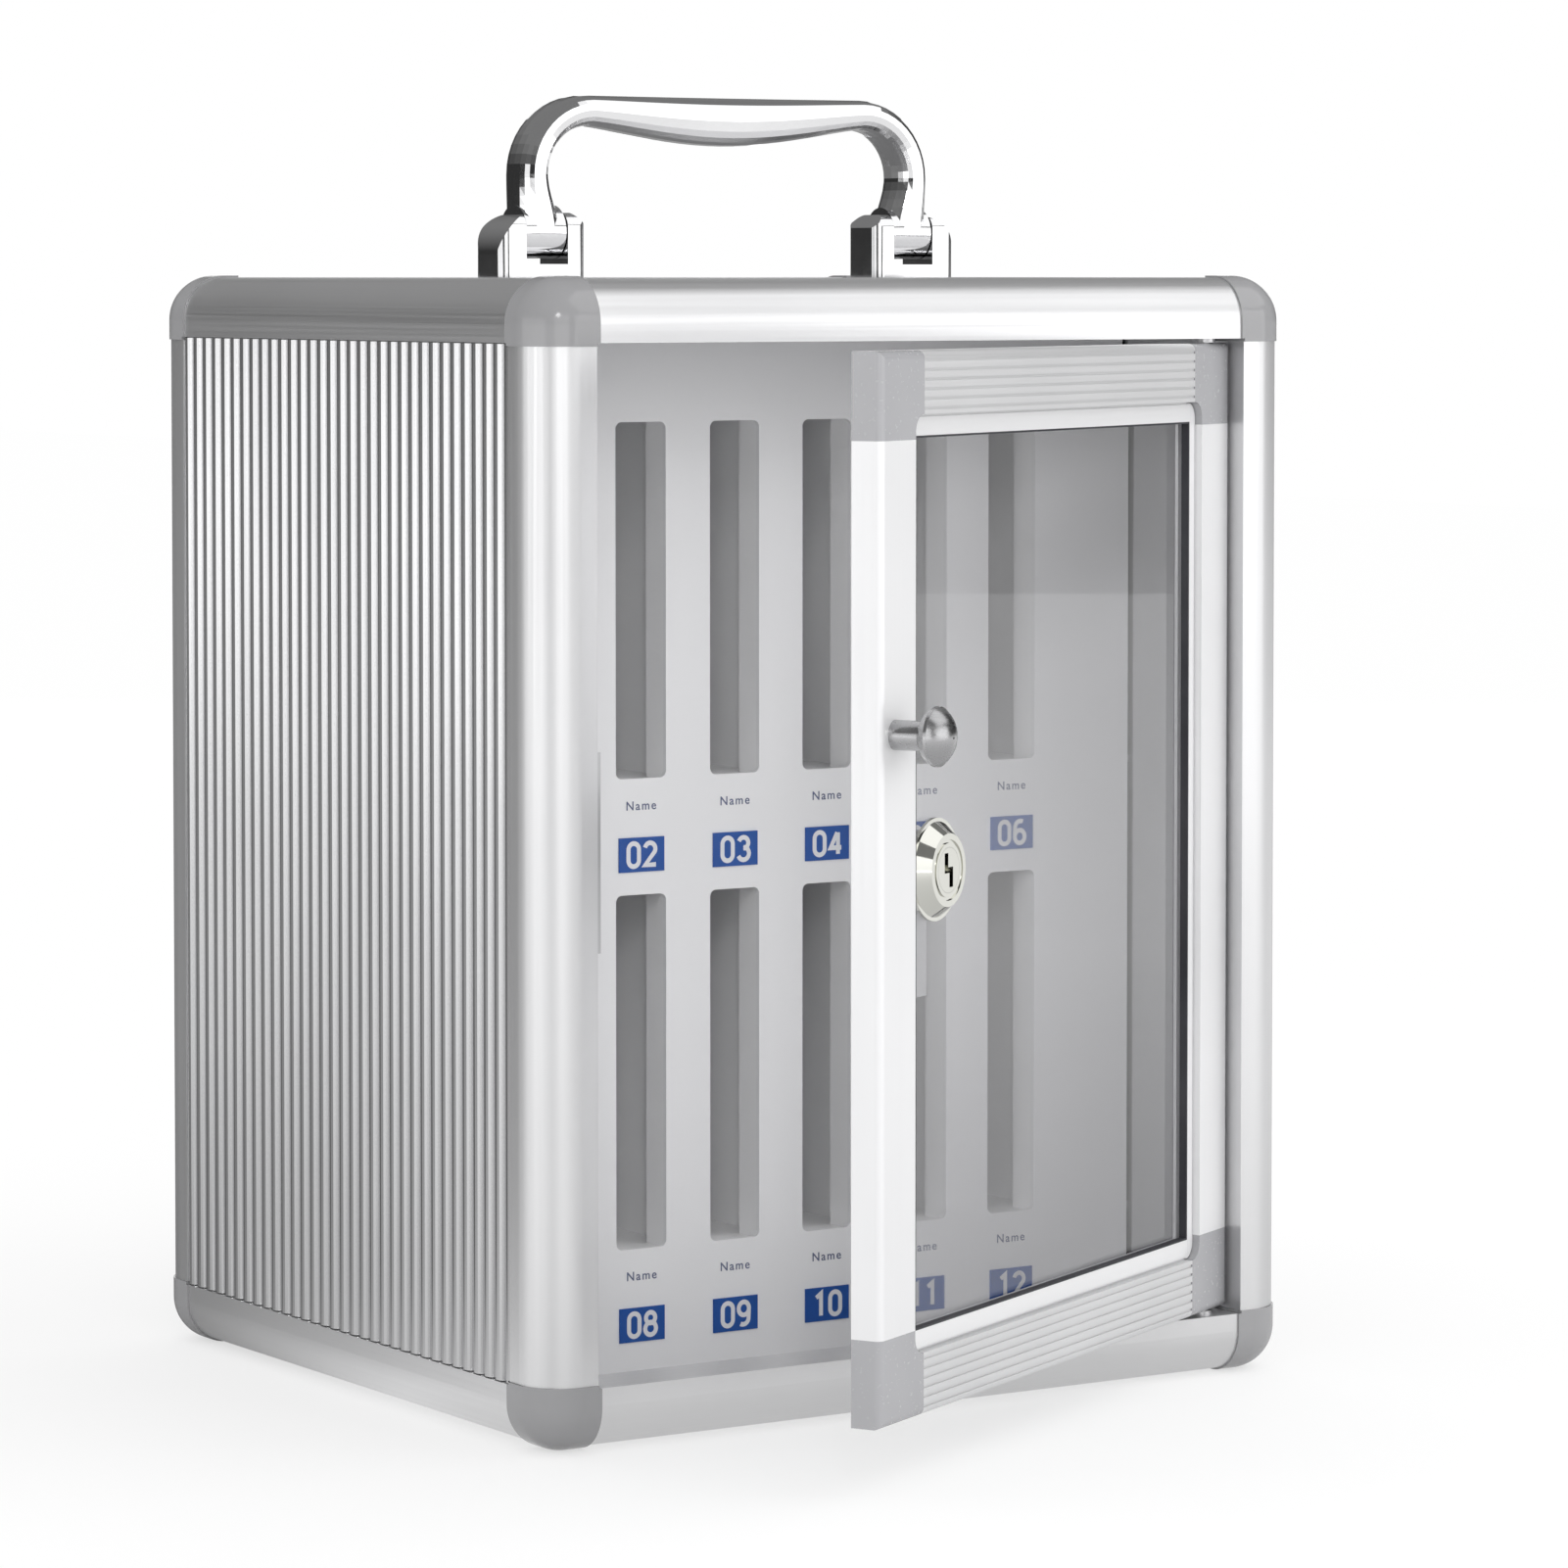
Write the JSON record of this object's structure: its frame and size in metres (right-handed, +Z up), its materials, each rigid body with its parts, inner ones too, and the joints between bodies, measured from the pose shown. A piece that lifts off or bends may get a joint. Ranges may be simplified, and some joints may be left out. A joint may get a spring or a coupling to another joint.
{
  "type": "cell phone locker box",
  "caption": "Portable aluminium case with a lockable glass door, numbered phone slots and a folding top handle.",
  "frame": {"origin": "middle of the case's footprint, on the surface it stands on, under the four lower corner caps", "axes": "+Z up; the glass door faces -Y; +X is to the right seen from the front, towards the door's hinge side"},
  "size_m": [0.231, 0.3065, 0.3385],
  "materials": {
    "bar_aluminium": "smooth satin anodised edge bars",
    "cap_plastic": "semi-gloss grey moulded corner caps",
    "ribbed_aluminium": "pressed vertical ribs, satin silver",
    "sheet_aluminium": "plain satin silver sheet",
    "slot_panel_paint": "smooth silver paint",
    "partition_sheet": "plain sheet",
    "plate_blue": "small printed blue plates",
    "frame_white": "satin silver door frame, grooved rails",
    "corner_plastic": "semi-gloss grey moulded corners",
    "door_glass": "clear",
    "gasket_rubber": "dark seal round the glass",
    "knob_metal": "satin turned metal",
    "bright_chrome": "polished",
    "zinc_steel": "zinc plated"
  },
  "bodies": {
    "case": {"post_front_left": "bar_aluminium", "post_front_right": "bar_aluminium", "post_rear_left": "bar_aluminium", "post_rear_right": "bar_aluminium", "rail_front_bottom": "bar_aluminium", "rail_front_top": "bar_aluminium", "rail_rear_bottom": "bar_aluminium", "rail_rear_top": "bar_aluminium", "rail_left_bottom": "bar_aluminium", "rail_left_top": "bar_aluminium", "rail_right_bottom": "bar_aluminium", "rail_right_top": "bar_aluminium", "cap_bottom_front_left": "cap_plastic", "cap_bottom_front_right": "cap_plastic", "cap_bottom_rear_left": "cap_plastic", "cap_bottom_rear_right": "cap_plastic", "cap_top_front_left": "cap_plastic", "cap_top_front_right": "cap_plastic", "cap_top_rear_left": "cap_plastic", "cap_top_rear_right": "cap_plastic", "panel_left": "ribbed_aluminium", "panel_right": "ribbed_aluminium", "panel_back": "ribbed_aluminium", "panel_top": "sheet_aluminium", "panel_bottom": "sheet_aluminium", "slot_panel": "slot_panel_paint", "dividers": "partition_sheet", "low_shelf": "partition_sheet", "mid_shelf": "partition_sheet", "roof_shelf": "partition_sheet", "number_plates": "plate_blue", "door_pin_bottom": "zinc_steel", "door_pin_top": "zinc_steel", "lock_strike": "zinc_steel", "strike_screws": "zinc_steel", "handle_bracket_left": "bright_chrome", "handle_bracket_right": "bright_chrome", "handle_pin_left": "zinc_steel", "handle_pin_right": "zinc_steel", "handle_screws": "zinc_steel"},
    "door": {"door_stile_free": "frame_white", "door_stile_hinge": "frame_white", "door_rail_bottom": "frame_white", "door_rail_top": "frame_white", "door_corner_bottom_free": "corner_plastic", "door_corner_bottom_hinge": "corner_plastic", "door_corner_top_free": "corner_plastic", "door_corner_top_hinge": "corner_plastic", "door_glass": "door_glass", "glass_gasket": "gasket_rubber", "door_knob": "knob_metal", "knob_screw": "zinc_steel", "lock_housing": "bright_chrome", "lock_nut": "zinc_steel"},
    "lock": {"lock_plug": "bright_chrome", "lock_cam": "zinc_steel", "cam_screw": "zinc_steel"},
    "handle": {"handle_bail": "bright_chrome"}
  },
  "joints": [
    {"name": "door_hinge", "type": "hinge", "parent": "case", "child": "door", "pos_m": [0.0904, -0.0975, 0.0165], "axis": [0, 0, 1], "range_deg": [-28.5, 81.5]},
    {"name": "lock_turn", "type": "hinge", "parent": "door", "child": "lock", "pos_m": [-0.04321, -0.17459, 0.148], "axis": [-0.4772, 0.8788, 0], "range_deg": [0, 90]},
    {"name": "handle_fold", "type": "hinge", "parent": "case", "child": "handle", "pos_m": [0, -0.002, 0.3025], "axis": [1, 0, 0], "range_deg": [-88, 88]}
  ]
}
